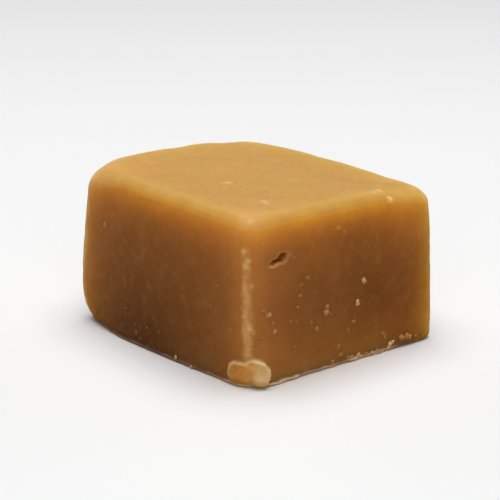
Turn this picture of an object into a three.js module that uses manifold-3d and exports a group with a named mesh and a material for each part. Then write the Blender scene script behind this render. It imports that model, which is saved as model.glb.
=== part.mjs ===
import * as THREE from "three";
import { mergeVertices } from "three/addons/utils/BufferGeometryUtils.js";
import Module from "manifold-3d";

// One piece of caramel fudge, cut by hand from a slab: a low, slightly skewed block with a soft
// rounded top, four worn upright edges and a crisp underside. Millimetres, +Z up. It rests on its
// flat underside, with the origin under the middle. The near and far sides run along X, the left
// and right sides along Y, and the corners are named going round from the near left one.

const WIDTH = 24.5; // between the left and right sides, at the underside
const LENGTH = 28.8; // between the near and far sides, at the underside
const CROWN = 0.4; // how far the middle of the top stands above its rim
const BULGE = 0.2; // how far each side swells at half height

// height: of the corner. leanX, leanY: how far its top has slumped. foot, head: plan radius of the
// upright edge below and above. round, drop: how far the top edge's rounding reaches in and down.
// tuck, lift: how far the underside's edge is rounded in, and how high that rounding reaches.
// rise: how far the rim of the top stands up there. footX, footY: how far its foot was pushed aside.
const CORNERS = {
  nearLeft: {
    height: 16.85, leanX: -0.25, leanY: 0.15, footX: 0.4, footY: 0.42, rise: 0,
    foot: 2.85, head: 1.9, round: 1.6, drop: 1.35, tuck: 0.82, lift: 0.6,
  },
  nearRight: {
    height: 15.85, leanX: -0.4, leanY: 0.1, footX: 0, footY: -0.26, rise: 0,
    foot: 1.75, head: 1.85, round: 1.7, drop: 1.6, tuck: 0.4, lift: 0.5,
  },
  farLeft: {
    height: 17.2, leanX: 0.65, leanY: -0.45, footX: -0.1, footY: 0, rise: 0,
    foot: 2.5, head: 3.9, round: 2.9, drop: 2.8, tuck: 1.45, lift: 5.0,
  },
  farRight: {
    height: 16.3, leanX: -0.3, leanY: -0.35, footX: 0, footY: 0, rise: 0,
    foot: 2.2, head: 2.4, round: 2.8, drop: 2.0, tuck: 0.7, lift: 0.8,
  },
};

// bowFoot, bowHead: how far the middle of the side stands out in plan, below and above.
const SIDES = {
  near: { bowFoot: -0.18, bowHead: 0.2, rise: 0.3, round: 1.5, drop: 1.25, tuck: 0.43, lift: 0.35 },
  right: { bowFoot: 0.2, bowHead: 0.2, rise: 0, round: 1.8, drop: 1.1, tuck: 0.6, lift: 0.6 },
  far: { bowFoot: 0.2, bowHead: 0.2, rise: 0, round: 2.0, drop: 1.2, tuck: 0.6, lift: 0.6 },
  left: { bowFoot: 0.3, bowHead: 0.25, rise: -0.1, round: 1.7, drop: 1.2, tuck: 0.33, lift: 0.4 },
};
// Along a side, a radius passes from the side's to the corner's own between these shares of it.
const CORNER_FROM = 0.35;
const CORNER_TO = 0.9;
const RISE_POWER = 4; // the rim's rise fades quickly towards the middle of the top

// The faces wander a little, as a face cut in soft fudge does: each wave's height, how often it
// repeats over WAVELENGTH in the face's two directions, and how it shifts from face to face.
const WAVELENGTH = 13;
const WAVES = [
  { height: 0.05, u: 1.0, v: 0.4, shift: 1.0 },
  { height: 0.04, u: -0.7, v: 1.3, shift: 2.1 },
  { height: 0.025, u: 2.3, v: 1.9, shift: 3.7 },
];

// A small torn hollow high on the near side, where a crumb pulled out: two balls that overlap,
// both drawn out along one slope.
const PIT_SLOPE = 12; // degrees
const PIT_BALLS = [
  { x: -9.25, z: 12.42, length: 1.5, height: 0.52, depth: 0.9 },
  { x: -8.46, z: 12.62, length: 1.25, height: 0.84, depth: 1.1 },
];

// A little fudge smeared over the foot of the near left edge, in lobes.
const SMEAR = 0.22; // how far the smear stands proud
const SMEAR_TAPER = 0.5; // height over which it thins out towards the underside
const LOBES = [
  { x: -12.5, y: -12.5, z: 1.1, radius: 1.7 },
  { x: -12.0, y: -13.4, z: 1.2, radius: 1.45 },
  { x: -11.2, y: -14.0, z: 1.8, radius: 1.3 },
  { x: -10.85, y: -14.1, z: 1.45, radius: 1.2 },
  { x: -11.0, y: -14.0, z: 0.8, radius: 1.2 },
];

const ACROSS = 24; // grid steps along X
const ALONG = 28; // grid steps along Y
const ROWS_UNDER = 5; // rows round the underside's edge
const ROWS_SIDE = 8; // rows up the side
const ROWS_ROUND = 6; // rows round the top edge
const ROWS = ROWS_UNDER + ROWS_SIDE + ROWS_ROUND;
const CROWDING = 1.5; // over 1 crowds the grid towards the edges
const BALL_ROUND = 20; // steps round a cutting ball
const BALL_DOWN = 14; // steps from its top to its bottom
const MERGE = 1e-4; // vertices closer than this are one

const HALF_WIDTH = WIDTH / 2;
const HALF_LENGTH = LENGTH / 2;
const HALF_SPAN = Math.min(HALF_WIDTH, HALF_LENGTH);
const QUARTER_TURN = Math.PI / 2;

const wasm = await Module();
wasm.setup();

const { clamp, degToRad, lerp, smoothstep } = THREE.MathUtils;

function crowd(t) {
  return Math.sign(t) * (1 - (1 - Math.abs(t)) ** CROWDING);
}

function cornerAt(a, b) {
  if (a < 0) return b < 0 ? CORNERS.nearLeft : CORNERS.farLeft;
  return b < 0 ? CORNERS.nearRight : CORNERS.farRight;
}

function sideAt(a, b) {
  if (Math.abs(a) >= Math.abs(b)) return a < 0 ? SIDES.left : SIDES.right;
  return b < 0 ? SIDES.near : SIDES.far;
}

// A radius that passes from its value on the side to its value at the corner.
function alongRim(key, a, b) {
  const nearness = smoothstep(Math.min(Math.abs(a), Math.abs(b)), CORNER_FROM, CORNER_TO);
  return lerp(sideAt(a, b)[key], cornerAt(a, b)[key], nearness);
}

// A corner value spread over the whole plan, a and b running from -1 to 1.
function overPlan(key, a, b) {
  const near = lerp(CORNERS.nearLeft[key], CORNERS.nearRight[key], (a + 1) / 2);
  const far = lerp(CORNERS.farLeft[key], CORNERS.farRight[key], (a + 1) / 2);
  return lerp(near, far, (b + 1) / 2);
}

// How far in from the outline, and how high, row c (-1 under, 1 on top) of the side lies.
function profile(c, a, b, height) {
  const round = alongRim("round", a, b);
  const drop = alongRim("drop", a, b);
  const tuck = alongRim("tuck", a, b);
  const lift = alongRim("lift", a, b);
  const row = ((c + 1) / 2) * ROWS;
  if (row <= ROWS_UNDER) {
    const turn = (row / ROWS_UNDER) * QUARTER_TURN;
    return { inset: tuck * (1 - Math.sin(turn)), z: lift * (1 - Math.cos(turn)) };
  }
  const climb = (row - ROWS_UNDER) / ROWS_SIDE;
  if (climb <= 1) return { inset: 0, z: lerp(lift, height - drop, climb) };
  const turn = ((row - ROWS_UNDER - ROWS_SIDE) / ROWS_ROUND) * QUARTER_TURN;
  return { inset: round * (1 - Math.cos(turn)), z: height - drop * (1 - Math.sin(turn)) };
}

// The plan outline, a rectangle with rounded corners and bowed sides, at a share of the height.
function outline(a, b, share) {
  const corner = cornerAt(a, b);
  const side = sideAt(a, b);
  const radius = lerp(corner.foot, corner.head, share);
  const at = new THREE.Vector2(a * HALF_WIDTH, b * HALF_LENGTH);
  const centre = new THREE.Vector2(
    clamp(at.x, radius - HALF_WIDTH, HALF_WIDTH - radius),
    clamp(at.y, radius - HALF_LENGTH, HALF_LENGTH - radius),
  );
  at.sub(centre).setLength(radius).add(centre);
  const bow = lerp(side.bowFoot, side.bowHead, share);
  if (Math.abs(a) >= Math.abs(b)) at.x += Math.sign(a) * bow * (1 - b * b) ** 2;
  else at.y += Math.sign(b) * bow * (1 - a * a) ** 2;
  return at;
}

function wander(u, v, face) {
  const turn = (2 * Math.PI) / WAVELENGTH;
  let height = 0;
  for (const wave of WAVES) {
    height += wave.height * Math.sin(turn * (wave.u * u + wave.v * v) + wave.shift * face);
  }
  return height;
}

// Takes a point of the cube from -1 to 1 to the surface of the block. swell makes it stouter.
function blockPoint(a, b, c, swell) {
  const ring = Math.max(Math.abs(a), Math.abs(b));
  const rimA = ring > 0 ? a / ring : 1;
  const rimB = ring > 0 ? b / ring : 0;
  const height = overPlan("height", a, b) + alongRim("rise", rimA, rimB) * ring ** RISE_POWER;
  const { inset, z } = profile(c, rimA, rimB, height);
  const share = z / height;
  const middle = 4 * share * (1 - share);
  const at = outline(rimA, rimB, share);
  at.multiplyScalar((ring * (HALF_SPAN - inset)) / HALF_SPAN);
  const outX = at.x / HALF_WIDTH;
  const outY = at.y / HALF_LENGTH;
  const out = BULGE * middle + swell * smoothstep(z, 0, SMEAR_TAPER);
  const low = (1 - share) ** 2;
  const x = at.x + outX * out + overPlan("leanX", a, b) * share + overPlan("footX", a, b) * low;
  const y = at.y + outY * out + overPlan("leanY", a, b) * share + overPlan("footY", a, b) * low;
  const crown = c === 1 ? CROWN * (1 - a * a) ** 2 * (1 - b * b) ** 2 : 0;
  return new THREE.Vector3(
    x + outX * middle * wander(y, z, 1),
    y + outY * middle * wander(x, z, 2),
    z + crown + share * wander(x, y, 3),
  );
}

function blockGeometry(swell) {
  const geometry = new THREE.BoxGeometry(2, 2, 2, ACROSS, ALONG, ROWS);
  const place = geometry.getAttribute("position");
  for (let i = 0; i < place.count; i++) {
    const at = blockPoint(crowd(place.getX(i)), crowd(place.getY(i)), place.getZ(i), swell);
    place.setXYZ(i, at.x, at.y, Math.max(0, at.z));
  }
  return geometry;
}

function ballGeometry(halfX, halfY, halfZ) {
  return new THREE.SphereGeometry(1, BALL_ROUND, BALL_DOWN).scale(halfX, halfY, halfZ);
}

function solidOf(geometry) {
  const bare = geometry.clone();
  bare.deleteAttribute("normal");
  bare.deleteAttribute("uv");
  const merged = mergeVertices(bare, MERGE);
  const mesh = new wasm.Mesh({
    numProp: 3,
    vertProperties: merged.getAttribute("position").array,
    triVerts: new Uint32Array(merged.getIndex().array),
  });
  return new wasm.Manifold(mesh);
}

function pitSolid() {
  const [long, wide] = PIT_BALLS.map(({ x, z, length, height, depth }) =>
    solidOf(
      ballGeometry(length / 2, depth, height / 2)
        .rotateY(-degToRad(PIT_SLOPE))
        .translate(x, -HALF_LENGTH, z),
    ),
  );
  return long.add(wide);
}

// The smear is the part of a stouter block that lies within the lobes.
function smearSolid() {
  const lobes = LOBES.map(({ x, y, z, radius }) =>
    solidOf(ballGeometry(radius, radius, radius).translate(x, y, z)),
  );
  const all = lobes.reduce((joined, lobe) => joined.add(lobe));
  return solidOf(blockGeometry(SMEAR)).intersect(all);
}

function geometryOf(solid) {
  const mesh = solid.getMesh();
  const geometry = new THREE.BufferGeometry();
  geometry.setAttribute("position", new THREE.BufferAttribute(mesh.vertProperties, 3));
  geometry.setIndex(new THREE.BufferAttribute(mesh.triVerts, 1));
  geometry.computeVertexNormals();
  return geometry;
}

const fudge = solidOf(blockGeometry(0)).add(smearSolid()).subtract(pitSolid());
const caramel = new THREE.MeshStandardMaterial({ color: "#c4914d", roughness: 0.5, metalness: 0 });

const block = new THREE.Mesh(geometryOf(fudge), caramel);
block.name = "fudge_cube";

const piece = new THREE.Group();
piece.add(block);

// The origin goes under the middle of the block's own box.
const box = new THREE.Box3().setFromObject(block);
block.position.set(-(box.min.x + box.max.x) / 2, -(box.min.y + box.max.y) / 2, -box.min.z);

export default piece;
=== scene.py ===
"""One hand-cut block of caramel fudge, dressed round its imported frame.

The block's own sizes are in millimetres and are turned into metres as each mesh is made. The near and
far sides run along X, the left and right sides along Y, and the underside lies on z = 0.
"""
import itertools
import math

import bmesh
import bpy
import numpy as np
from bpy.props import FloatProperty, FloatVectorProperty, IntProperty, PointerProperty
from mathutils import Matrix, Vector
from mathutils.bvhtree import BVHTree


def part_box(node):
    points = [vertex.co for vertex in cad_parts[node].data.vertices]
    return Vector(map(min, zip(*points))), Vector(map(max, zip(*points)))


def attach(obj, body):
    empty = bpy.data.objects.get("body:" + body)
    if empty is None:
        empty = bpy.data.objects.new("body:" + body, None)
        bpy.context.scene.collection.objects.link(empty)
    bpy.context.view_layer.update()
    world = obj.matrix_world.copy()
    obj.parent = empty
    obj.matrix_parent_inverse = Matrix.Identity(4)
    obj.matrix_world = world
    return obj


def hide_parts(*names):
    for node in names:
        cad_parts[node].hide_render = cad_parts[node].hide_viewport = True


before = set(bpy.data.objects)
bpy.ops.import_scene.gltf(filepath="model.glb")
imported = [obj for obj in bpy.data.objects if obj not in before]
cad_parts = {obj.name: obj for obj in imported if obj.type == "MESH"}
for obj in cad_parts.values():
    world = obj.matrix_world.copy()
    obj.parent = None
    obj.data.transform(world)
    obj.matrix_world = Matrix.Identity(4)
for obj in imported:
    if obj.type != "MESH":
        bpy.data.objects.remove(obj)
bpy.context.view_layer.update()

bl_info = {
    "name": "Fudge Block",
    "version": (1, 0, 0),
    "blender": (4, 5, 0),
    "location": "3D View > Sidebar > Fudge",
    "description": "Builds one hand-cut block of caramel fudge, its crumbs, floor, lights and camera",
    "category": "Object",
}

MM = 0.001
CENTRED = (0.067, -0.023, 0)  # the move that puts the middle of the block over the origin
NODE = "fudge_cube"
BODY = "root"

# The cut block ----------------------------------------------------------------------------------

WIDTH = 24.5  # between the left and right sides, at the underside
LENGTH = 28.8  # between the near and far sides, at the underside
CROWN = 0.4  # how far the middle of the top stands above its rim
BULGE = 0.2  # how far each side swells at half height
OUTSIDE = -9.0  # stands for a place far outside an outline
HALF_WIDTH = WIDTH / 2
HALF_LENGTH = LENGTH / 2
HALF_SPAN = min(HALF_WIDTH, HALF_LENGTH)

# Sizes at the near left, near right, far left and far right corner.
CORNERS = {
    "height": (16.85, 15.85, 17.2, 16.3),
    "lean_x": (-0.25, -0.4, 0.65, -0.3),  # how far the top of the corner has slumped
    "lean_y": (0.15, 0.1, -0.45, -0.35),
    "foot_x": (0.4, 0.0, -0.1, 0.0),  # how far its foot has been pushed in or out
    "foot_y": (0.42, -0.26, 0.0, 0.0),
    "foot": (2.85, 1.75, 2.5, 2.2),  # plan radius of the upright edge below
    "head": (1.9, 1.85, 3.9, 2.4),  # and above
    "round": (1.6, 1.7, 2.9, 2.8),  # how far the top edge's rounding reaches in
    "drop": (1.35, 1.6, 2.8, 2.0),  # and down
    "tuck": (0.82, 0.4, 1.45, 0.7),  # how far the underside's edge is rounded in
    "lift": (0.6, 0.5, 5.0, 0.8),  # and how high that rounding reaches
    "sag": (0.0, 0.0, 0.0, 0.0),  # how far the rim of the top hangs
    "turn": (37.5, 45, 24, 45),  # where hands have rubbed the upright edge, in degrees round it
    "worn": (1.0, 0.38, 1.0, 0.4),  # how strongly
    "line": (0.46, 0.5, 0.8, 0.5),  # and over how wide a line
}

# Sizes at the middle of the left, right, near and far side.
SIDES = {
    "bow_foot": (0.3, 0.2, -0.18, 0.2),  # how far the side stands out in plan, below
    "bow_head": (0.25, 0.2, 0.2, 0.2),  # and above
    "round": (1.7, 1.8, 1.5, 2.0),
    "drop": (1.2, 1.1, 1.25, 1.2),
    "tuck": (0.33, 0.6, 0.8, 0.6),
    "lift": (0.4, 0.6, 0.6, 0.6),
    "sag": (0.1, 0.0, -0.3, 0.0),
}
NEAR_LEFT = 0  # its place in each row of CORNERS
NEAR = 2  # its place in each row of SIDES
CORNER_FROM = 0.35  # share of a side's half length where its radii start to pass to the corner's
CORNER_TO = 0.9
SAG_POWER = 4  # the rim's sag fades quickly towards the middle of the top

# The slow waves of each face: height, how often each repeats over WAVELENGTH in the face's two
# directions, and how it shifts from face to face.
WAVELENGTH = 13.0
WAVES = ((0.05, 1.0, 0.4, 1.0), (0.04, -0.7, 1.3, 2.1), (0.025, 2.3, 1.9, 3.7))

# Rows of the grid: round the underside's edge, up the side, and round the top edge.
ROWS_UNDER = 9
ROWS_ROUND = 16
UNDER = 1.0
SIDE_TOP = 2.0
TOP = 3.0

# The other grid lines as (place, spacing from there on), close together over the pit and the smear.
SIDE_FOOT = SIDES["lift"][NEAR]
SIDE_HEAD = CORNERS["height"][NEAR_LEFT] - SIDES["round"][NEAR]
LINES_X = ((-HALF_WIDTH, 0.12), (-7.4, 0.23), (HALF_WIDTH, 0))
LINES_Y = ((-HALF_LENGTH, 0.12), (-10.6, 0.25), (HALF_LENGTH, 0))
LINES_Z = ((SIDE_FOOT, 0.1), (3.2, 0.22), (11.6, 0.1), (13.4, 0.2), (SIDE_HEAD, 0))

# From here on, a roughness is a row of noises, each as (height, size, seed). A ramp is (what it runs
# along, from where, to where, from what, to what). Ramps run along x, y and z, along turn, which is
# x - y and grows round the near left edge, along slant, which is x + z, and along the parts of a
# normal: left, up, and tilt, which is how far it is off the level.
UPRIGHT = ("tilt", 0.35, 0.8, 1, 0)
OFF_TOP = ("up", 0.35, 0.9, 1, 0)
NEAR_SIDE = ("turn", 0.0, 4.0, 0, 1)

# The fine relief of every face.
LUMPS = ((0.045, 2.6, 1), (0.022, 1.1, 2))
GRAIN = ((1.0, 0.45, 3),)
GRAIN_HEIGHT = ("slant", 2.0, -8.0, 0.012, 0.026)
DRAG = ((0.010, 0.55, 4),)
DRAG_STRETCH = np.array([1, 1, 0.09])  # the knife drew the grain of the cut sides out upright
QUIET_FOOT = ("z", 0.0, 0.6, 0, 1)

# The upright edges that hands have rubbed.
WORN_LUMPS = ((0.05, 0.5, 5), (0.04, 1.0, 6))
WORN_PATCHES = ((0.35, 0.9, 31), (0.7, 0.3, 32))
WORN_MEAN = 0.5  # how pale the patches of a worn edge are on average
WORN_MOST = 1.2  # and at most
WORN_LEAST = 0.4  # how strong the line stays between them
WORN_UP = (("z", 4.0, 11.0, 1.2, 0.8), ("z", 12.6, 14.6, 1, 0.1))
HANDLED_WIDTH = 3.6  # the strip beside a rubbed edge, over which its colour fades
HANDLED_TURN = ("turn", -1.5, 2.5, 0.76, 1)
HANDLED_FOOT = (-11.5, -13.0)  # the middle of the handled foot
HANDLED_FOOT_WIDTH = 8.0
HANDLED_FOOT_HEIGHT = 2.5

# The torn hollow high on the near side: blobs of its outline as (x, z, half length, half height).
PIT_SLOPE = math.radians(12)
PIT_BLOBS = (
    (-9.45, 12.33, 0.46, 0.26),
    (-8.98, 12.44, 0.40, 0.26),
    (-8.43, 12.60, 0.60, 0.43),
)
PIT_RAGGED = ((0.09, 0.45, 11), (0.07, 0.22, 12))
PIT_REACH = 1.5  # only points this close to the near side belong to it
PIT_DEPTH = 1.25
PIT_WALL = (0.0, 0.16)
PIT_EDGE = (-0.02, 0.06)
LIP = 0.13
LIP_OUT = -0.12  # the lip is highest just outside the outline
LIP_WIDTH = 0.12
LIP_PATCHES = ((1.0, 0.5, 13),)
LIP_PATCHY = (-0.6, 0.3)
LIP_SLOPE = 0.2  # it lies below a line that climbs to the right
LIP_START = -8.9
LIP_BELOW = (12.75, 12.2)  # the heights between which it sets in, at its start
LIP_ABOVE = 0.15  # how much of it there is above the line
LIP_END = ("x", -9.0, -8.3, 1, 0.3)

# The smear over the foot of the near left edge: its lobes as (x, y, z, radius), then the roll of
# fudge that its right lobes were pushed up into.
LOBES = ((-12.5, -12.5, 1.1, 1.7), (-12.0, -13.4, 1.2, 1.45))
ROLLED_LOBES = ((-11.2, -14.0, 1.8, 1.3), (-10.85, -14.1, 1.45, 1.2), (-11.0, -14.0, 0.8, 1.2))
SMEAR_RAGGED = ((0.10, 0.7, 21), (0.06, 0.3, 22))
SMEAR = 0.14
SMEAR_LUMPS = ((0.5, 0.55, 23),)
SMEAR_EDGE = (-0.05, 0.10)
SMEAR_UP = ("z", 0.1, 1.2, 0.4, 1)
SMEAR_TAPER = ("z", 0, 0.7, 0, 1)  # it thins out towards the underside
SMEAR_RIM = 0.12  # how far its rim stands above the rest of it
SMEAR_RIM_IN = 0.14  # where the rim is highest, inside the outline
SMEAR_RIM_WIDTH = 0.16
SMEAR_RIM_UP = ("z", 0.5, 1.9, 0.2, 1)
SMEAR_RIM_WORN = 0.8  # how much of it the worn edge has lost
ROLL = 0.24
ROLL_SIDE = ("turn", 1.7, 3.0, 0, 1)
ROLL_EDGE = 0.22  # how far in from its outline the roll keeps rising
ROLL_FALL = 1.1  # and where it has sunk back
SLUMP = 0.34  # how much thicker the roll has slumped, low down
SLUMP_TOP = 3.0
SLUMP_HEIGHT = 0.9

# Small dents as (x, y, z, radius, depth), on whichever face lies there.
DENTS = (
    (-2.66, -13.68, 16.46, 0.26, 0.20),
    (5.00, -14.45, 15.38, 0.28, 0.22),
    (-1.60, -14.58, 14.05, 0.26, 0.12),
    (-2.10, -14.58, 13.98, 0.26, 0.12),
)

# Pale flecks of dried fudge that stand a little proud, as (x, y, z, radius, rise).
FLECK_PALE = 0.15  # the rise from which a fleck is at its palest
FLECK_RAGGED = ((0.3, 0.35, 51),)
FLECK_EDGE = (1.2, 0.1)  # along its radius
FLECKS = (
    (5.19, -13.02, 16.31, 0.42, 0.10),
    (5.55, -14.25, 15.65, 0.42, 0.13),
    (4.20, -13.30, 16.35, 0.30, 0.08),
    (4.62, -9.13, 16.24, 0.32, 0.06),
    (-6.90, -10.13, 16.74, 0.50, 0.07),
    (-5.58, -3.21, 17.00, 0.55, 0.10),
    (-7.17, -10.77, 16.80, 0.30, 0.06),
    (6.40, 7.20, 16.60, 0.45, 0.06),
    (-1.51, -14.56, 14.20, 0.30, 0.06),
    (-0.70, -14.58, 13.71, 0.20, 0.06),
    (-7.04, -14.58, 12.36, 0.18, 0.06),
    (-12.23, -13.38, 13.67, 0.36, 0.13),
    (-11.98, -13.70, 12.77, 0.34, 0.12),
    (-12.09, -13.55, 12.25, 0.38, 0.13),
    (-11.73, -13.88, 10.39, 0.30, 0.08),
    (-11.70, -13.51, 6.17, 0.34, 0.10),
    (-11.41, -13.72, 5.77, 0.30, 0.08),
    (-11.44, -13.48, 16.35, 0.45, 0.03),
)

# The thin burr that the knife left round the foot.
BURR = 0.36
BURR_FILL = 0.55  # the share of the foot's rounding that it fills
BURR_TOP = 0.28  # the height up to which it is pale
BURR_END = 0.46
BURR_LUMPS = ((0.5, 0.55, 10),)
BURR_RAGGED = ((0.10, 0.6, 8), (0.05, 0.25, 9))
BURR_PATCHES = ((1.0, 1.0, 7),)
BURR_STRETCH = np.array([1, 1, 0.2])
BURR_PATCHY = (-0.35, 0.3)
BURR_BETWEEN = 0.75  # how much of it there is between its patches
BURR_LEFT = 0.35  # and along the left side
BURR_NEAR = ("y", -7.0, -10.5, 0, 1)
BURR_ALONG = ("x", 5.5, 8.0, 1, 0.2)
BURR_LOST = 0.8  # how much of it is lost under the roll
BURR_ROLLED = (-0.3, 0.3)
LEVEL_LEAST = 0.2  # a normal's level part that is shorter than this stays short

# Where the colours of the faces lie, painted light and shade among them.
FACE_PAINT = {
    "golden": (("x", -4.0, 5.0, 0, 1), ("z", 5.0, 12.0, 1, 0.25), UPRIGHT),
    # painted glow: the sides are painted brighter orange just below the top, for light shining through
    # from the top
    "upper": (("turn", 0.0, 4.0, 0.75, 1), UPRIGHT),
    # painted light: the strip above the underside is painted brighter, for light thrown up from below
    "foot": (("x", 4.0, 9.0, 1, 0.5), ("turn", 0.0, 4.0, 0.05, 1), UPRIGHT),
    # painted shade: a dark patch painted low on the left side
    "cloud_and_shade": (("left", 0.3, 0.8, 0, 1),),
    # partly painted light: the top and the crest are painted lighter than the sides, partly for a drier
    # top skin and partly for light from above; the top's paler tone is also a painted sheen
    "top": (("up", 0.8, 0.99, 0, 1),),
    "crest": (("up", 0.12, 0.75, 0, 1),),
}
UPPER_FROM = ("turn", 0.0, 4.0, 9.5, 10.6)  # the height at which the painted glow below the top sets in
UPPER_LOWER = ("x", 0.0, 8.0, 0, 2.2)  # and how much lower it does so to the right
UPPER_TO = 15.8
UPPER_POWER = ("x", 0.0, 8.0, 2.2, 1.6)
UPPER_HAZE = (("z", 8.5, 12.0, 0, 0.17), NEAR_SIDE)
# how high the painted light above the underside reaches
FOOT_HEIGHT = 2.0
SHADE_Y = (3.0, 10.0)  # the middle of the painted shade low on the left side, and its reach
SHADE_Z = (1.5, 7.0)
CREST_HIGHLIGHT = (0.93, 0.045)  # the up part of a normal where the painted highlight along the crest's rim lies, and how far it varies


def smoothstep(value, low, high):
    """0 at low, 1 at high, and a smooth passage between them."""
    t = np.clip((value - low) / (high - low), 0, 1)
    return t * t * (3 - 2 * t)


def mix(low, high, share):
    """The value a share of the way from low to high."""
    return low + (high - low) * share


def bell(value, middle, width):
    """1 at the middle, fading softly to 0 over about two widths."""
    return np.exp(-(((value - middle) / width) ** 2))


def lattice_noise(points, size, seed):
    """Smooth noise from -1 to 1 at points in millimetres, with lumps about size across."""
    cells = 61
    table = np.random.default_rng(seed).uniform(-1, 1, (cells, cells, cells))
    scaled = np.asarray(points, float) / size + 0.5 * cells
    low = np.floor(scaled).astype(int)
    part = scaled - low
    part = part * part * (3 - 2 * part)
    total = np.zeros(len(scaled))
    for corner in range(8):
        step = np.array([corner & 1, corner >> 1 & 1, corner >> 2 & 1])
        weight = np.where(step, part, 1 - part).prod(axis=1)
        at = (low + step) % cells
        total += weight * table[at[:, 0], at[:, 1], at[:, 2]]
    return total


def rough(points, roughness):
    """The height of a roughness at each point."""
    return sum(height * lattice_noise(points, size, seed) for height, size, seed in roughness)


def ramped(at, *ramps):
    """The product of some ramps at each point."""
    total = 1
    for along, start, end, first, last in ramps:
        total = total * mix(first, last, smoothstep(at[along], start, end))
    return total


def corner_values(key, a, b):
    """Each point's own corner's value of key."""
    return np.array(CORNERS[key])[(a > 0).astype(int) + 2 * (b > 0)]


def side_values(key, a, b):
    """Each point's own side's value of key."""
    across = np.abs(a) >= np.abs(b)
    return np.array(SIDES[key])[np.where(across, (a > 0).astype(int), 2 + (b > 0))]


def along_rim(key, a, b):
    """A radius that passes from its value on the side to its value at the corner."""
    nearness = smoothstep(np.minimum(np.abs(a), np.abs(b)), CORNER_FROM, CORNER_TO)
    return mix(side_values(key, a, b), corner_values(key, a, b), nearness)


def over_plan(key, a, b):
    """A corner value spread over the whole plan."""
    near_left, near_right, far_left, far_right = CORNERS[key]
    near = mix(near_left, near_right, (a + 1) / 2)
    far = mix(far_left, far_right, (a + 1) / 2)
    return mix(near, far, (b + 1) / 2)


def profile(c, a, b, height):
    """How far in from the outline, and how high, row c of the side lies."""
    top_round = along_rim("round", a, b)
    drop = along_rim("drop", a, b)
    tuck = along_rim("tuck", a, b)
    lift = along_rim("lift", a, b)
    under = np.clip(c, 0, UNDER) * math.pi / 2
    climb = np.clip(c - UNDER, 0, 1)
    over = np.clip(c - SIDE_TOP, 0, 1) * math.pi / 2
    inset = tuck * (1 - np.sin(under)) + top_round * (1 - np.cos(over))
    z = lift * (1 - np.cos(under)) + climb * (height - drop - lift) + drop * np.sin(over)
    return inset, z


def outline(a, b, share):
    """The plan outline, a rectangle with rounded corners and bowed sides, at a share of the height."""
    radius = mix(corner_values("foot", a, b), corner_values("head", a, b), share)
    at = np.stack([a * HALF_WIDTH, b * HALF_LENGTH], axis=1)
    reach = np.array([HALF_WIDTH, HALF_LENGTH]) - radius[:, None]
    centre = np.clip(at, -reach, reach)
    spoke = at - centre
    at = centre + spoke / np.linalg.norm(spoke, axis=1, keepdims=True) * radius[:, None]
    bow = mix(side_values("bow_foot", a, b), side_values("bow_head", a, b), share)
    across = np.abs(a) >= np.abs(b)
    at[:, 0] += np.where(across, np.sign(a) * bow * (1 - b * b) ** 2, 0)
    at[:, 1] += np.where(across, 0, np.sign(b) * bow * (1 - a * a) ** 2)
    return at


def wander(u, v, face):
    """The slow waves of one face, in millimetres."""
    turn = 2 * math.pi / WAVELENGTH
    total = 0
    for height, along_u, along_v, shift in WAVES:
        total = total + height * np.sin(turn * (along_u * u + along_v * v) + shift * face)
    return total


def block_points(cube):
    """Takes points of the cube (a and b from -1 to 1, c from 0 to TOP) to the block's plain surface.

    Also gives how far in each of them lies at the underside's rounded edge.
    """
    a, b, c = cube.T
    ring = np.maximum(np.abs(a), np.abs(b))
    rim = np.where(ring > 0, ring, 1)
    rim_a = np.where(ring > 0, a / rim, 1)
    rim_b = np.where(ring > 0, b / rim, 0)
    height = over_plan("height", a, b) - along_rim("sag", rim_a, rim_b) * ring**SAG_POWER
    inset, z = profile(c, rim_a, rim_b, height)
    share = z / height
    middle = 4 * share * (1 - share)
    plan = outline(rim_a, rim_b, share) * (ring * (HALF_SPAN - inset) / HALF_SPAN)[:, None]
    out = plan / np.array([HALF_WIDTH, HALF_LENGTH])
    low = (1 - share) ** 2
    x = plan[:, 0] + over_plan("lean_x", a, b) * share + over_plan("foot_x", a, b) * low
    y = plan[:, 1] + over_plan("lean_y", a, b) * share + over_plan("foot_y", a, b) * low
    x = x + out[:, 0] * BULGE * middle
    y = y + out[:, 1] * BULGE * middle
    crown = np.where(c >= TOP, CROWN * (1 - a * a) ** 2 * (1 - b * b) ** 2, 0)
    points = np.stack(
        [
            x + out[:, 0] * middle * wander(y, z, 1),
            y + out[:, 1] * middle * wander(x, z, 2),
            z + crown + share * wander(x, y, 3),
        ],
        axis=1,
    )
    return points, np.where(c < UNDER, inset, 0)


def spaced(stops):
    """Grid lines through (place, spacing) stops, each spacing holding up to the next place."""
    lines = [stops[0][0]]
    for (start, spacing), (end, _) in zip(stops[:-1], stops[1:]):
        steps = max(1, round((end - start) / spacing))
        lines += [mix(start, end, (i + 1) / steps) for i in range(steps)]
    return np.array(lines)


def grid_lines():
    """The cube's grid lines along a, b and c."""
    a = spaced(LINES_X) / HALF_WIDTH
    b = spaced(LINES_Y) / HALF_LENGTH
    side = UNDER + (spaced(LINES_Z) - SIDE_FOOT) / (SIDE_HEAD - SIDE_FOOT)
    under = np.linspace(0, UNDER, ROWS_UNDER + 1)[:-1]
    over = np.linspace(SIDE_TOP, TOP, ROWS_ROUND + 1)[1:]
    return a, b, np.concatenate([under, side, over])


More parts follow.
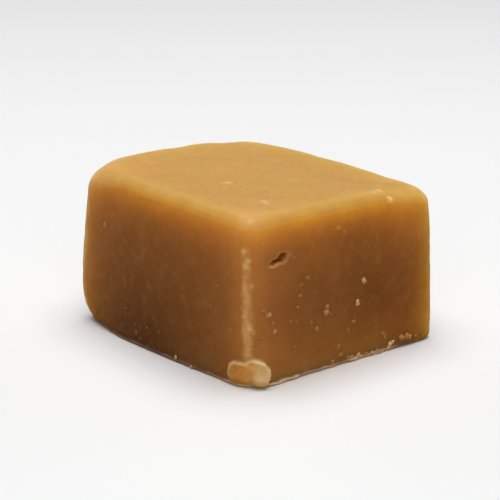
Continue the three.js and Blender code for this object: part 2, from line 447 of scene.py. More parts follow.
def cube_grid(lines):
    """Vertices and outward quads of the cube with those grid lines, welded along its edges."""
    points = []
    quads = []
    start = 0
    for axis in range(3):
        u, v = [(1, 2), (2, 0), (0, 1)][axis]
        for end in (0, -1):
            grid_u, grid_v = np.meshgrid(lines[u], lines[v], indexing="ij")
            sheet = np.empty((grid_u.size, 3))
            sheet[:, axis] = lines[axis][end]
            sheet[:, u] = grid_u.ravel()
            sheet[:, v] = grid_v.ravel()
            index = start + np.arange(grid_u.size).reshape(grid_u.shape)
            loop = [index[:-1, :-1], index[1:, :-1], index[1:, 1:], index[:-1, 1:]]
            if end == 0:
                loop.reverse()
            quads.append(np.stack([part.ravel() for part in loop], axis=1))
            points.append(sheet)
            start += len(sheet)
    points = np.concatenate(points)
    _, first, welded = np.unique(
        points.round(decimals=9), axis=0, return_index=True, return_inverse=True
    )
    return points[first], welded.ravel()[np.concatenate(quads)]


def place_object(name, data):
    """A new object in the scene's own collection."""
    made = bpy.data.objects.new(name, data)
    bpy.context.scene.collection.objects.link(made)
    return made


def mesh_object(name, vertices, faces):
    """A smooth-shaded mesh object from vertices in metres."""
    mesh = bpy.data.meshes.new(name)
    mesh.from_pydata(vertices.tolist(), [], faces.tolist())
    mesh.validate()
    mesh.shade_smooth()
    return place_object(name, mesh)


def vertex_normals(vertices, quads):
    """Unit normals of a quad mesh, averaged at its vertices."""
    across = vertices[quads[:, 2]] - vertices[quads[:, 0]]
    along = vertices[quads[:, 3]] - vertices[quads[:, 1]]
    face = np.cross(across, along)
    total = np.zeros_like(vertices)
    for corner in range(4):
        np.add.at(total, quads[:, corner], face)
    return total / np.linalg.norm(total, axis=1, keepdims=True)


def store_mask(mesh, name, values):
    """Keeps a 0 to 1 mask on the mesh for its material."""
    attribute = mesh.attributes.new(name, "FLOAT", "POINT")
    attribute.data.foreach_set("value", np.clip(values, 0, 1).astype(np.float32))


def distance(points, x, y, z):
    """How far each point lies from one place."""
    return np.linalg.norm(points - np.array([x, y, z]), axis=1)


def pit_field(points):
    """How deep in the pit each point lies, below 0 outside, in millimetres across its outline."""
    field = np.full(len(points), OUTSIDE)
    for x, z, half_length, half_height in PIT_BLOBS:
        dx = points[:, 0] - x
        dz = points[:, 2] - z
        along = dx * math.cos(PIT_SLOPE) + dz * math.sin(PIT_SLOPE)
        up = dz * math.cos(PIT_SLOPE) - dx * math.sin(PIT_SLOPE)
        away = np.hypot(along / half_length, up / half_height)
        field = np.maximum(field, (1 - away) * half_height)
    field = field + rough(points, PIT_RAGGED)
    return np.where(points[:, 1] < -HALF_LENGTH + PIT_REACH, field, OUTSIDE)


def lobe_field(points, lobes):
    """How far inside the outline of some lobes each point lies, below 0 outside, in millimetres."""
    field = np.full(len(points), OUTSIDE)
    for x, y, z, radius in lobes:
        field = np.maximum(field, radius - distance(points, x, y, z))
    return field + rough(points, SMEAR_RAGGED)


def ramp_places(points, normals):
    """What the ramps run along, at each point."""
    x, y, z = points.T
    up = normals[:, 2]
    return {
        "x": x, "y": y, "z": z, "turn": x - y, "slant": x + z,
        "left": -normals[:, 0], "up": up, "tilt": np.abs(up),
    }


def edge_wear(points, at):
    """The pale line along each worn upright edge, and the wider handled strip beside it, 0 to 1."""
    patches = np.clip(WORN_MEAN + rough(points, WORN_PATCHES), 0, WORN_MOST)
    patches = mix(WORN_LEAST, 1, patches) * ramped(at, *WORN_UP)
    worn = np.zeros(len(points))
    handled = np.zeros(len(points))
    for i, (side_y, side_x) in enumerate(itertools.product((-1, 1), repeat=2)):
        corner = {key: row[i] for key, row in CORNERS.items()}
        share = np.clip(at["z"] / corner["height"], 0, 1)
        radius = mix(corner["foot"], corner["head"], share)
        turn = math.radians(corner["turn"])
        x = side_x * (HALF_WIDTH - radius * (1 - math.cos(turn))) + corner["lean_x"] * share
        y = side_y * (HALF_LENGTH - radius * (1 - math.sin(turn))) + corner["lean_y"] * share
        away = np.hypot(at["x"] - x, at["y"] - y)
        worn = np.maximum(worn, corner["worn"] * bell(away, 0, corner["line"]) * patches)
        strip = np.exp(-away / HANDLED_WIDTH) * ramped(at, HANDLED_TURN)
        handled = np.maximum(handled, corner["worn"] * strip)
    away = np.hypot(at["x"] - HANDLED_FOOT[0], at["y"] - HANDLED_FOOT[1])
    foot = bell(away, 0, HANDLED_FOOT_WIDTH) * np.exp(-at["z"] / HANDLED_FOOT_HEIGHT)
    return worn, np.maximum(handled, foot)


def face_relief(points, at):
    """The height of the lumps, the grain and the knife's drag of every face."""
    grain = ramped(at, GRAIN_HEIGHT) * rough(points, GRAIN)
    drag = rough(points * DRAG_STRETCH, DRAG) * ramped(at, UPRIGHT)
    return (rough(points, LUMPS) + grain + drag) * ramped(at, QUIET_FOOT)


def smear_relief(points, at, wear):
    """The height of the smear and its roll, their masks, and where the roll covers the foot."""
    roll = lobe_field(points, ROLLED_LOBES)
    smear = np.maximum(lobe_field(points, LOBES), roll)
    inside = smoothstep(smear, *SMEAR_EDGE) * ramped(at, OFF_TOP)
    rim = bell(smear, SMEAR_RIM_IN, SMEAR_RIM_WIDTH) * ramped(at, OFF_TOP, SMEAR_RIM_UP)
    rim *= 1 - SMEAR_RIM_WORN * wear
    right = ramped(at, ROLL_SIDE)
    rolled = np.sin(np.clip(roll / ROLL_EDGE, 0, 1) * math.pi / 2) * right
    rolled *= 1 - smoothstep(roll, ROLL_EDGE, ROLL_FALL)
    slump = np.clip((SLUMP_TOP - at["z"]) / (SLUMP_TOP - SLUMP_HEIGHT), 0, 1)
    slump *= np.clip(at["z"] / SLUMP_HEIGHT, 0, 1) * smoothstep(roll, 0, ROLL_EDGE) * right
    body = SMEAR * inside * (1 + rough(points, SMEAR_LUMPS))
    height = (body + SMEAR_RIM * rim + ROLL * rolled) * ramped(at, SMEAR_TAPER) + SLUMP * slump
    masks = {
        "smear": inside * np.maximum(right, ramped(at, SMEAR_UP)),
        "smear_pale": rim,
        "roll": smoothstep(roll, *SMEAR_EDGE) * right,
    }
    return height, masks, smoothstep(roll, *BURR_ROLLED) * right


def pit_relief(points, at):
    """The height of the pit and its lip, and their masks."""
    pit = pit_field(points)
    below = smoothstep(at["z"] - LIP_SLOPE * (at["x"] - LIP_START), *LIP_BELOW)
    below = mix(LIP_ABOVE, 1, below * ramped(at, LIP_END))
    patchy = smoothstep(rough(points, LIP_PATCHES), *LIP_PATCHY)
    lip = bell(pit, LIP_OUT, LIP_WIDTH) * below * patchy
    height = LIP * lip - PIT_DEPTH * smoothstep(pit, *PIT_WALL)
    return height, {"pit": smoothstep(pit, *PIT_EDGE), "pit_lip": lip}


def fleck_relief(points):
    """The height of the small dents and the dried flecks, and the flecks' mask."""
    height = np.zeros(len(points))
    for x, y, z, radius, depth in DENTS:
        height -= depth * bell(distance(points, x, y, z), 0, radius)
    ragged = rough(points, FLECK_RAGGED)
    flecks = np.zeros(len(points))
    for x, y, z, radius, rise in FLECKS:
        fleck = smoothstep(distance(points, x, y, z) / radius + ragged, *FLECK_EDGE)
        height += rise * fleck
        flecks = np.maximum(flecks, fleck * min(1, rise / FLECK_PALE))
    return height, {"fleck": flecks}


def burr_relief(points, at, covered, tucked):
    """How far out the burr stands, and its mask."""
    patchy = smoothstep(rough(points * BURR_STRETCH, BURR_PATCHES), *BURR_PATCHY)
    burr = smoothstep(at["z"] + rough(points, BURR_RAGGED), BURR_END, BURR_TOP)
    burr *= mix(BURR_BETWEEN, 1, patchy) * (1 - BURR_LOST * covered) * ramped(at, BURR_ALONG)
    burr *= mix(BURR_LEFT, 1, np.maximum(ramped(at, NEAR_SIDE), ramped(at, BURR_NEAR)))
    fin = BURR * (1 + rough(points, BURR_LUMPS)) * np.clip(1 - at["z"] / BURR_END, 0, 1)
    return burr * (fin + BURR_FILL * tucked), {"burr": burr}


def face_masks(at):
    """Where the colours of the sides, the crest and the top lie, painted light and shade among them."""
    masks = {name: ramped(at, *ramps) for name, ramps in FACE_PAINT.items()}
    # the painted glow below the top sets in at a height and grows upwards
    start = ramped(at, UPPER_FROM) - ramped(at, UPPER_LOWER)
    upper = np.clip((at["z"] - start) / (UPPER_TO - start), 0, 1) ** ramped(at, UPPER_POWER)
    masks["upper"] *= np.maximum(upper, ramped(at, *UPPER_HAZE))
    # painted light above the underside, fading upwards
    masks["foot"] *= np.exp(-at["z"] / FOOT_HEIGHT)
    # painted shade low on the left side
    masks["cloud_and_shade"] *= bell(at["y"], *SHADE_Y) * bell(at["z"], *SHADE_Z)
    # the painted highlight along the crest's rim
    masks["rim"] = bell(at["up"], *CREST_HIGHLIGHT)
    return masks


def relief(points, normals, tucked, settings):
    """The block's points with its small relief, and the masks that its material paints by."""
    at = ramp_places(points, normals)
    wear, handled = edge_wear(points, at)
    smear, smear_masks, covered = smear_relief(points, at, wear)
    pit, pit_masks = pit_relief(points, at)
    fleck, fleck_masks = fleck_relief(points)
    burr, burr_masks = burr_relief(points, at, covered, tucked)

    height = face_relief(points, at) * settings.relief + wear * rough(points, WORN_LUMPS)
    height += smear + pit + fleck
    level = normals * np.array([1, 1, 0])
    level /= np.maximum(np.linalg.norm(level, axis=1, keepdims=True), LEVEL_LEAST)
    moved = points + normals * height[:, None] + level * burr[:, None]
    moved[:, 2] = np.maximum(moved[:, 2], 0)
    masks = {**face_masks(at), **smear_masks, **pit_masks, **fleck_masks, **burr_masks}
    return moved, {**masks, "wear": wear, "handled": handled}


def build_block(settings):
    """The fudge block itself, with its relief and the masks that its material reads."""
    cube, quads = cube_grid(grid_lines())
    points, tucked = block_points(cube)
    normals = vertex_normals(points, quads)
    moved, masks = relief(points, normals, tucked, settings)
    moved[cube[:, 2] == 0, 2] = 0
    moved = (moved + CENTRED) * stretch(settings)
    block = mesh_object("fudge_block", moved * MM, quads)
    for name, values in masks.items():
        store_mask(block.data, name, values)
    return block


def stretch(settings):
    """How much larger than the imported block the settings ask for, along each axis."""
    low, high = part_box(NODE)
    return np.array(settings.size) / np.array(high - low)


# Crumbs -----------------------------------------------------------------------------------------

# The crumbs that sit on each side, as (along, up, size, paleness): along is x on the near side and y
# on the left side, and on top the first two are (x, y).
NEAR_CRUMBS = (
    (2.1, 8.1, 0.60, 0.75), (1.3, 6.2, 0.62, 0.95), (-2.7, 6.6, 0.42, 0.55), (-2.8, 6.0, 0.55, 0.6),
    (0.9, 4.2, 0.48, 0.42), (0.25, 3.5, 0.42, 0.4), (-9.9, 7.4, 0.62, 0.6), (-10.6, 7.8, 0.45, 0.42),
    (-9.5, 6.4, 0.36, 0.42), (-9.2, 5.5, 0.42, 0.6), (-6.2, 8.4, 0.46, 0.36), (-6.5, 7.3, 0.48, 0.36),
    (-4.7, 5.4, 0.38, 0.38), (-4.0, 4.6, 0.44, 0.38), (-7.2, 6.0, 0.34, 0.34), (-10.7, 5.1, 0.34, 0.36),
    (-5.3, 10.0, 0.40, 0.36), (-6.1, 9.5, 0.40, 0.34), (-6.7, 3.3, 0.45, 0.34), (-4.4, 2.3, 0.42, 0.34),
    (-2.2, 5.7, 0.34, 0.38), (-1.0, 2.1, 0.46, 0.38), (-0.6, 1.1, 0.44, 0.5), (-1.6, 0.6, 0.40, 0.5),
    (0.4, 0.6, 0.40, 0.6), (1.0, 0.5, 0.42, 0.8), (1.8, 0.5, 0.46, 0.8), (2.9, 0.4, 0.38, 0.6),
    (3.6, 0.3, 0.40, 0.8), (4.3, 0.4, 0.42, 0.8), (5.0, 2.0, 0.40, 0.38), (5.3, 1.6, 0.46, 0.42),
    (5.9, 0.3, 0.44, 0.9), (6.1, 0.6, 0.50, 1.0), (6.4, 0.8, 0.40, 0.9), (7.5, 1.0, 0.60, 0.5),
    (8.2, 1.0, 0.60, 0.5), (8.6, 0.9, 0.56, 0.6), (9.5, 0.8, 0.36, 0.42),
)
LEFT_CRUMBS = (
    (4.6, 3.5, 0.40, 0.05), (4.8, 3.0, 0.36, 0.0), (3.0, 2.3, 0.36, 0.0), (2.9, 1.4, 0.38, 0.15),
    (1.0, 2.4, 0.40, 0.0), (2.4, 0.9, 0.36, 0.0), (0.1, 0.6, 0.36, 0.0), (-2.5, 2.1, 0.36, 0.0),
    (10.1, 1.7, 0.40, 0.1), (-3.2, 0.5, 0.44, 0.8), (-5.5, 0.2, 0.40, 0.6), (-9.7, 7.0, 0.34, 0.2),
    (-8.8, 7.3, 0.34, 0.3), (-6.6, 8.4, 0.30, 0.2), (-9.8, 9.5, 0.32, 0.4), (8.4, 11.4, 0.46, 0.5),
    (-8.3, 12.6, 0.30, 0.4), (9.6, 9.6, 0.36, 0.25), (7.7, 9.7, 0.34, 0.25), (-11.7, 5.7, 0.34, 0.4),
)
TOP_CRUMBS = ((-4.60, -8.60, 0.24, 0.75), (1.20, 2.40, 0.22, 0.7), (-8.90, -6.10, 0.22, 0.7))

NEAR_WAY = (0, -1)  # which way a side faces, in x and y
LEFT_WAY = (-1, 0)
WAYS_TO_STREW = (NEAR_WAY, LEFT_WAY, (0, 1), (1, 0))

# The two strewings of crumbs on the sides. margin: how far they keep from the upright edges. lowest,
# reach: where their heights start, and over how much they go on. heights, sizes: the powers of the
# draws that gather them low down and small. pales: their least and greatest paleness. left: its share
# on the left side. bunch: the stretch of the near side where most of those there lie, if any.
OVER_SIDES = {
    "margin": 1.5, "lowest": 0.25, "reach": 14.5, "heights": (0.9, 1.8), "sizes": (1.0, 3.5),
    "pales": (0.34, 0.5), "left": 0.3, "bunch": None,
}
ROUND_FOOT = {
    "margin": 2.0, "lowest": 0.12, "reach": 1.1, "heights": (1.0, 2.6), "sizes": (1.3, 2.0),
    "pales": (0.2, 0.8), "left": 0.4, "bunch": (4.5, 10.5),
}
BUNCHED = 3  # every third crumb keeps out of the bunch
TOP_MARGIN = 1.2
TOP_SIZES = (1.0, 3.0)
TOP_PALE = 0.7

CRUMB_SWELL = ((0.35, 0.7, 41),)
CRUMB_SHIFT = 9  # how far the noise may move from crumb to crumb
CRUMB_SPREAD = (0.7, 1.2)  # the least and most that a crumb is drawn out
CRUMB_TALL = 1.15  # how much a crumb on a side has been drawn out upright
CRUMB_SINK = 0.64  # share of its size that a crumb is pressed into a side
TOP_SINK = 0.65  # and into the top
CLUSTER = ((0, 1.0), (0.42, 0.55), (0.5, 0.4))  # a crumb's lumps: how far off, and how large
CRUMB_DETAIL = 2
RAY_START = 30.0


def block_tree():
    """The finished block as a tree to drop crumbs on."""
    block = bpy.data.objects.get("fudge_block")
    if block is None:
        raise RuntimeError("build the block before its crumbs")
    vertices = [v.co / MM for v in block.data.vertices]
    return BVHTree.FromPolygons(vertices, [p.vertices for p in block.data.polygons])


def dropped(tree, start, direction):
    """Where a ray meets the block, and the block's normal there."""
    place, normal, _, _ = tree.ray_cast(Vector(start), Vector(direction))
    if place is None:
        raise RuntimeError(f"no fudge below a crumb at {start}")
    return np.array(place), np.array(normal)


def side_hit(tree, way, along, up):
    """The block's surface on the side that faces one way, along it and up it."""
    x, y = way
    start = (along if x == 0 else RAY_START * x, along if y == 0 else RAY_START * y, up)
    return dropped(tree, start, (-x, -y, 0))


def top_hit(tree, x, y):
    """The block's surface on top."""
    return dropped(tree, (x, y, RAY_START), (0, 0, -1))


def placed_seats(tree):
    """The seats of the crumbs that have their own place."""
    for way, crumbs in ((NEAR_WAY, NEAR_CRUMBS), (LEFT_WAY, LEFT_CRUMBS)):
        for along, up, *kind in crumbs:
            yield *side_hit(tree, way, along, up), *kind
    for x, y, *kind in TOP_CRUMBS:
        yield *top_hit(tree, x, y), *kind


def side_seats(tree, count, strewing, widths, draws):
    """The seats of crumbs strewn over the four sides."""
    for i in range(count):
        way = WAYS_TO_STREW[i % len(WAYS_TO_STREW)]
        if strewing["bunch"] and way == NEAR_WAY and i % BUNCHED:
            along = draws.uniform(*strewing["bunch"])
        else:
            half = HALF_WIDTH if way[0] == 0 else HALF_LENGTH
            along = draws.uniform(-1, 1) * (half - strewing["margin"])
        up = strewing["reach"] * draws.beta(*strewing["heights"]) + strewing["lowest"]
        size = mix(*widths, draws.beta(*strewing["sizes"]))
        pale = draws.uniform(*strewing["pales"]) * (strewing["left"] if way == LEFT_WAY else 1)
        yield *side_hit(tree, way, along, up), size, pale


def top_seats(tree, count, widths, draws):
    """The seats of crumbs strewn over the top."""
    for _ in range(count):
        x = draws.uniform(-1, 1) * (HALF_WIDTH - TOP_MARGIN)
        y = draws.uniform(-1, 1) * (HALF_LENGTH - TOP_MARGIN)
        yield *top_hit(tree, x, y), mix(*widths, draws.beta(*TOP_SIZES)), TOP_PALE


def crumb_seats(tree, settings, draws):
    """(place, normal, size, paleness) of every crumb: the placed ones, then the strewn ones."""
    widths = (settings.smallest / MM, settings.largest / MM)
    return [
        *placed_seats(tree),
        *side_seats(tree, settings.count, OVER_SIDES, widths, draws),
        *top_seats(tree, settings.top_count, widths, draws),
        *side_seats(tree, settings.foot_count, ROUND_FOOT, widths, draws),
    ]


def crumb_form(draws):
    """One irregular crumb about 1 across, as points and triangles."""
    form = bmesh.new()
    bmesh.ops.create_icosphere(form, subdivisions=CRUMB_DETAIL, radius=0.5)
    points = np.array([v.co for v in form.verts])
    faces = np.array([[v.index for v in f.verts] for f in form.faces])
    form.free()
    shift = draws.uniform(-CRUMB_SHIFT, CRUMB_SHIFT, 3)
    swell = 1 + rough(points + shift, CRUMB_SWELL)
    points = points * swell[:, None] * draws.uniform(*CRUMB_SPREAD, 3)
    turn = np.array(Matrix.Rotation(draws.uniform(0, math.tau), 3, Vector(draws.normal(size=3))))
    return points @ turn.T, faces


def build_crumbs(settings):
    """All the crumbs, pressed a little way into the block."""
    draws = np.random.default_rng(settings.seed)
    seats = crumb_seats(block_tree(), settings, draws)
    points = []
    faces = []
    pales = []
    count = 0
    lobes = (*LOBES, *ROLLED_LOBES)
    for place, normal, size, pale in seats:
        if lobe_field(place[None], lobes)[0] > -size / 2:
            continue
        for away, share in CLUSTER if size > settings.largest / MM else CLUSTER[:1]:
            form, triangles = crumb_form(draws)
            form[:, 2] *= mix(CRUMB_TALL, 1, abs(normal[2]))
            out = share * (0.5 - mix(CRUMB_SINK, TOP_SINK, abs(normal[2])))
            aside = np.cross(normal, draws.normal(size=3))
            aside *= away / np.linalg.norm(aside)
            lump = place + size * (form * share + normal * out + aside)
            lump[:, 2] = np.maximum(lump[:, 2], 0)
            points.append(lump)
            faces.append(triangles + count)
            pales.append(np.full(len(form), pale))
            count += len(form)
    crumbs = mesh_object("fudge_crumbs", np.concatenate(points) * MM, np.concatenate(faces))
    store_mask(crumbs.data, "pale", np.concatenate(pales))
    return crumbs


# Materials --------------------------------------------------------------------------------------

# The Mix node's two inputs and its output, for numbers and for colours.
MIX_SOCKETS = {"FLOAT": (2, 3, 0), "RGBA": (6, 7, 2)}

# The coats of colour on the block, from the lowest to the topmost, as (mask, colour, strength). Several
# are painted light and shade: the glow below the top, the light above the underside, the shade low on
# the left side, the lighter top and crest with the top's sheen, the highlight along the crest's rim and
# the shade inside the pit.
COATS = (
    ("golden", "golden", 1.0), ("upper", "upper", 0.8), ("foot", "foot", 0.9),
    ("cloud_and_shade", "deep", 0.95), ("crest", "crest", 1.0), ("top", "top", 1.0),
    ("mottle", "deep", 1.0), ("speckle", "worn", 0.06), ("scuffs", "worn", 0.07),
    ("handled", "handled", 0.62), ("rim", "worn", 0.06), ("smear", "smear", 1.0),
    ("roll", "roll", 0.9), ("smear_pale", "roll", 0.8), ("wear", "worn", 0.66),
    ("fleck", "roll", 0.6), ("pit", "pit", 1.0), ("pit_lip", "worn", 0.7), ("burr", "burr", 0.95),
)
TEXTURES = ("mottle", "speckle", "scuffs")  # the masks that the mesh doesn't carry

# A grain is (cloud scale, crystal scale, relief), a texture (scale, detail, roughness), and a bump
# (strength, height in millimetres). Edges and holes are pairs: where something starts to show, and
# where it shows fully.
GRAIN_START = {"Cloud Scale": 0.4, "Crystal Scale": 3.0, "Relief": 1.0}
CUT_GRAIN = (0.35, 2.6, 1.0)
CRUMB_GRAIN = (1.5, 5.0, 1.0)
CUT_BUMP = (0.35, 0.06)
CRUMB_BUMP = (0.5, 0.05)
FINE = (1.6, 3.0, 0.6)
SCUFFS = (0.9, 5.0, 0.65)
SCUFF_EDGE = (0.5, 0.68)
MOTTLE = (0.16, 0.03)  # the mottling's strength on the sides, and on the top
RIM_HOLES = (0.3, 0.7)
SMEAR_HOLES = (0.1, 0.45)
WORN_HOLES = (0.1, 0.7)
WORN_FINE = 0.5  # keeps the fine texture from breaking a worn edge up altogether
DRY_HALF = 0.5  # how dry the pit and the flecks are, next to the other dry places
DRYNESS = 0.9
CUT_ROUGHNESS = (0.5, 0.62)
WORN_ROUGHNESS = 0.8
CRUMB_ROUGHNESS = (0.65, 0.85)
CRUMB_CLOUD = 0.2
CLOUD_EDGE = (0.3, 0.7)
SPECK_EDGE = (0.28, 0.08)
SPECK_HEIGHT = 0.25
IOR = 1.46
SPECULAR = 0.32
LIGHT_REACH = (16.5, 16.0, 5.0)  # how far red, green and blue light travel inside, in millimetres


def add_node(tree, kind, **inputs):
    """A new node of one kind with its named inputs set or linked."""
    node = tree.nodes.new(kind)
    for name, value in inputs.items():
        feed(tree, node.inputs[name.replace("_", " ")], value)
    return node


def feed(tree, socket, value):
    """Links an output into a socket, or sets the socket to a plain value."""
    if isinstance(value, bpy.types.NodeSocket):
        tree.links.new(value, socket)
    elif hasattr(value, "__len__") and len(value) == 3 and socket.type == "RGBA":
        socket.default_value = (*value, 1)
    else:
        socket.default_value = value


def mixed(tree, kind, low, high, share):
    """The number or colour a share of the way from low to high."""
    node = tree.nodes.new("ShaderNodeMix")
    node.data_type = kind
    first, second, result = MIX_SOCKETS[kind]
    feed(tree, node.inputs[0], share)
    feed(tree, node.inputs[first], low)
    feed(tree, node.inputs[second], high)
    return node.outputs[result]


def layered(tree, below, above, mask):
    """The colour below with the colour above laid over it by a mask."""
    return mixed(tree, "RGBA", below, above, mask)


def blended(tree, low, high, share):
    """The number a share of the way from low to high."""
    return mixed(tree, "FLOAT", low, high, share)


def calculated(tree, operation, first, second):
    """What an arithmetic operation makes of two numbers."""
    node = tree.nodes.new("ShaderNodeMath")
    node.operation = operation
    feed(tree, node.inputs[0], first)
    feed(tree, node.inputs[1], second)
    return node.outputs[0]


def times(tree, first, second):
    """The product of two numbers."""
    return calculated(tree, "MULTIPLY", first, second)


def plus(tree, first, *others):
    """The sum of some numbers."""
    for other in others:
        first = calculated(tree, "ADD", first, other)
    return first


def ranged(tree, value, low, high):
    """The value stretched so that low becomes 0 and high becomes 1, held between them."""
    node = add_node(tree, "ShaderNodeMapRange", Value=value, From_Min=low, From_Max=high)
    return node.outputs["Result"]


def noise(tree, where, scale, detail, roughness):
    """Soft noise from 0 to 1, scale being how many lumps there are to a millimetre."""
    kind = "ShaderNodeTexNoise"
    node = add_node(tree, kind, Vector=where, Scale=scale / MM, Detail=detail, Roughness=roughness)
    return node.outputs["Fac"]


def mask_of(tree, name):
    """A mask that the mesh carries."""
    node = tree.nodes.new("ShaderNodeAttribute")
    node.attribute_name = name
    return node.outputs["Fac"]


def sugar_grain():
    """The node group for the cooked sugar: its cloudy mottling, its fine crystals and their relief."""
    found = bpy.data.node_groups.get("sugar_grain")
    if found:
        return found
    group = bpy.data.node_groups.new("sugar_grain", "ShaderNodeTree")
    sockets = group.interface
    for name, start in GRAIN_START.items():
        made = sockets.new_socket(name=name, in_out="INPUT", socket_type="NodeSocketFloat")
        made.default_value = start
    for name in ("Cloud", "Speckle", "Height"):
        sockets.new_socket(name=name, in_out="OUTPUT", socket_type="NodeSocketFloat")
    given = group.nodes.new("NodeGroupInput")
    result = group.nodes.new("NodeGroupOutput")
    where = group.nodes.new("ShaderNodeTexCoord").outputs["Object"]
    cloud_scale = times(group, given.outputs["Cloud Scale"], 1 / MM)
    crystal_scale = times(group, given.outputs["Crystal Scale"], 1 / MM)
    cloud_and_shade = add_node(group, "ShaderNodeTexNoise", Vector=where, Scale=cloud_scale, Detail=4)
    crystals = add_node(group, "ShaderNodeTexNoise", Vector=where, Scale=crystal_scale, Detail=3)
    specks = add_node(group, "ShaderNodeTexVoronoi", Vector=where, Scale=crystal_scale)
    speckle = ranged(group, specks.outputs["Distance"], *SPECK_EDGE)
    height = plus(group, crystals.outputs["Fac"], times(group, speckle, SPECK_HEIGHT))
    feed(group, result.inputs["Cloud"], ranged(group, cloud_and_shade.outputs["Fac"], *CLOUD_EDGE))
    feed(group, result.inputs["Speckle"], speckle)
    feed(group, result.inputs["Height"], times(group, height, given.outputs["Relief"]))
    return group


def place_grain(tree, values):
    """Places the sugar grain in a material with its own values."""
    node = tree.nodes.new("ShaderNodeGroup")
    node.node_tree = sugar_grain()
    for name, value in zip(GRAIN_START, values):
        node.inputs[name].default_value = value
    return node


def new_material(name):
    """An empty node material and its output node."""
    material = bpy.data.materials.new(name)
    material.use_nodes = True
    material.node_tree.nodes.clear()
    return material, material.node_tree.nodes.new("ShaderNodeOutputMaterial")


def bumped(tree, height, strength, distance):
    """The normal of a surface that a height roughens."""
    bump = add_node(tree, "ShaderNodeBump", Height=height, Strength=strength, Distance=distance * MM)
    return bump.outputs["Normal"]


def fudge_shader(tree, colour, roughness, normal, moistness):
    """The shader of cooked fudge: waxy, and lit a little way through where it is moist."""
    shader = add_node(
        tree, "ShaderNodeBsdfPrincipled", Base_Color=colour, Roughness=roughness, Normal=normal,
        IOR=IOR, Specular_IOR_Level=SPECULAR, Subsurface_Weight=moistness,
        Subsurface_Radius=LIGHT_REACH, Subsurface_Scale=MM,
    )
    return shader.outputs["BSDF"]


def cut_fudge(settings):
    """The block's material: a cut and handled surface with wear, smear, torn pit and burr, and painted
    light and shade in its colours.
    """
    material, output = new_material("cut_fudge")
    tree = material.node_tree
    grain = place_grain(tree, CUT_GRAIN)
    cloud_and_shade = grain.outputs["Cloud"]
    where = tree.nodes.new("ShaderNodeTexCoord").outputs["Object"]
    fine = noise(tree, where, *FINE)
    masks = {name: mask_of(tree, name) for name, _, _ in COATS if name not in TEXTURES}
    worn = times(tree, masks["wear"], plus(tree, fine, WORN_FINE))
    worn = ranged(tree, worn, *WORN_HOLES)
    half_dry = times(tree, plus(tree, masks["pit"], masks["fleck"]), DRY_HALF)
    dryness = plus(tree, worn, masks["smear"], masks["pit_lip"], masks["burr"], half_dry)
    dryness = times(tree, ranged(tree, dryness, 0.0, 1.0), DRYNESS)

    masks["wear"] = worn
    masks["mottle"] = times(tree, cloud_and_shade, blended(tree, *MOTTLE, masks["top"]))
    masks["speckle"] = grain.outputs["Speckle"]
    masks["scuffs"] = ranged(tree, noise(tree, where, *SCUFFS), *SCUFF_EDGE)
    masks["rim"] = times(tree, masks["rim"], ranged(tree, fine, *RIM_HOLES))
    masks["smear"] = times(tree, masks["smear"], ranged(tree, fine, *SMEAR_HOLES))
    base = settings.side_colour
    for name, colour, strength in COATS:
        cover = times(tree, masks[name], strength)
        base = layered(tree, base, getattr(settings, f"{colour}_colour"), cover)

    roughness = blended(tree, blended(tree, *CUT_ROUGHNESS, cloud_and_shade), WORN_ROUGHNESS, worn)
    normal = bumped(tree, grain.outputs["Height"], *CUT_BUMP)
    shader = fudge_shader(tree, base, roughness, normal, blended(tree, 1.0, 0.0, dryness))
    tree.links.new(shader, output.inputs["Surface"])
    return material


def crumb_fudge(settings):
    """The crumbs' material: paler and drier than the block."""
    material, output = new_material("crumb_fudge")
    tree = material.node_tree
    grain = place_grain(tree, CRUMB_GRAIN)
    cloud_and_shade = grain.outputs["Cloud"]
    pale = mask_of(tree, "pale")
    base = layered(tree, settings.dark_crumb_colour, settings.colour, ranged(tree, pale, 0.0, 0.5))
    base = layered(tree, base, settings.dry_colour, ranged(tree, pale, 0.5, 1.0))
    base = layered(tree, base, settings.dark_crumb_colour, times(tree, cloud_and_shade, CRUMB_CLOUD))
    roughness = blended(tree, *CRUMB_ROUGHNESS, cloud_and_shade)
    normal = bumped(tree, grain.outputs["Height"], *CRUMB_BUMP)
    shader = fudge_shader(tree, base, roughness, normal, 0.0)
    tree.links.new(shader, output.inputs["Surface"])
    return material


# Stage ------------------------------------------------------------------------------------------

EYE = (-104.55, -122.84, 57.78)
AIM = (0.0, 0.0, 8.3)
CLIP = (0.01, 10.0)  # the nearest and furthest that the camera sees, in metres
FLOOR_DROP = 0.01
FLOOR_ROUGHNESS = 0.9
FLOOR_SPECULAR = 0.1
SEEN_SURROUND = 0.9  # how bright the surround looks to the camera

# The lights, in metres.
OVERHEAD_HEIGHT = 0.5
LOW_DISTANCE = 0.75
LOW_SIZE = (0.6, 0.3)
LOW_AIM = (0, 0, 0.008)
FRONT_HEIGHT = 0.42
SIDE_HEIGHT = 0.16


def pale_floor(settings):
    """The floor's material: pale to the eye, and dimmer in the light that it throws back."""
    material, output = new_material("pale_floor")
    tree = material.node_tree
    seen = tree.nodes.new("ShaderNodeLightPath").outputs["Is Camera Ray"]
    base = layered(tree, settings.bounce_colour, settings.floor_colour, seen)
    shader = add_node(
        tree, "ShaderNodeBsdfPrincipled", Base_Color=base, Roughness=FLOOR_ROUGHNESS,
        Specular_IOR_Level=FLOOR_SPECULAR,
    )
    tree.links.new(shader.outputs["BSDF"], output.inputs["Surface"])
    return material


def build_floor(settings):
    """A wide pale floor under the block."""
    form = bmesh.new()
    bmesh.ops.create_grid(form, x_segments=4, y_segments=4, size=settings.floor_size / 2)
    mesh = bpy.data.meshes.new("pale_floor")
    form.to_mesh(mesh)
    form.free()
    floor = place_object("pale_floor", mesh)
    floor.location.z = -FLOOR_DROP * MM
    mesh.materials.append(pale_floor(settings))


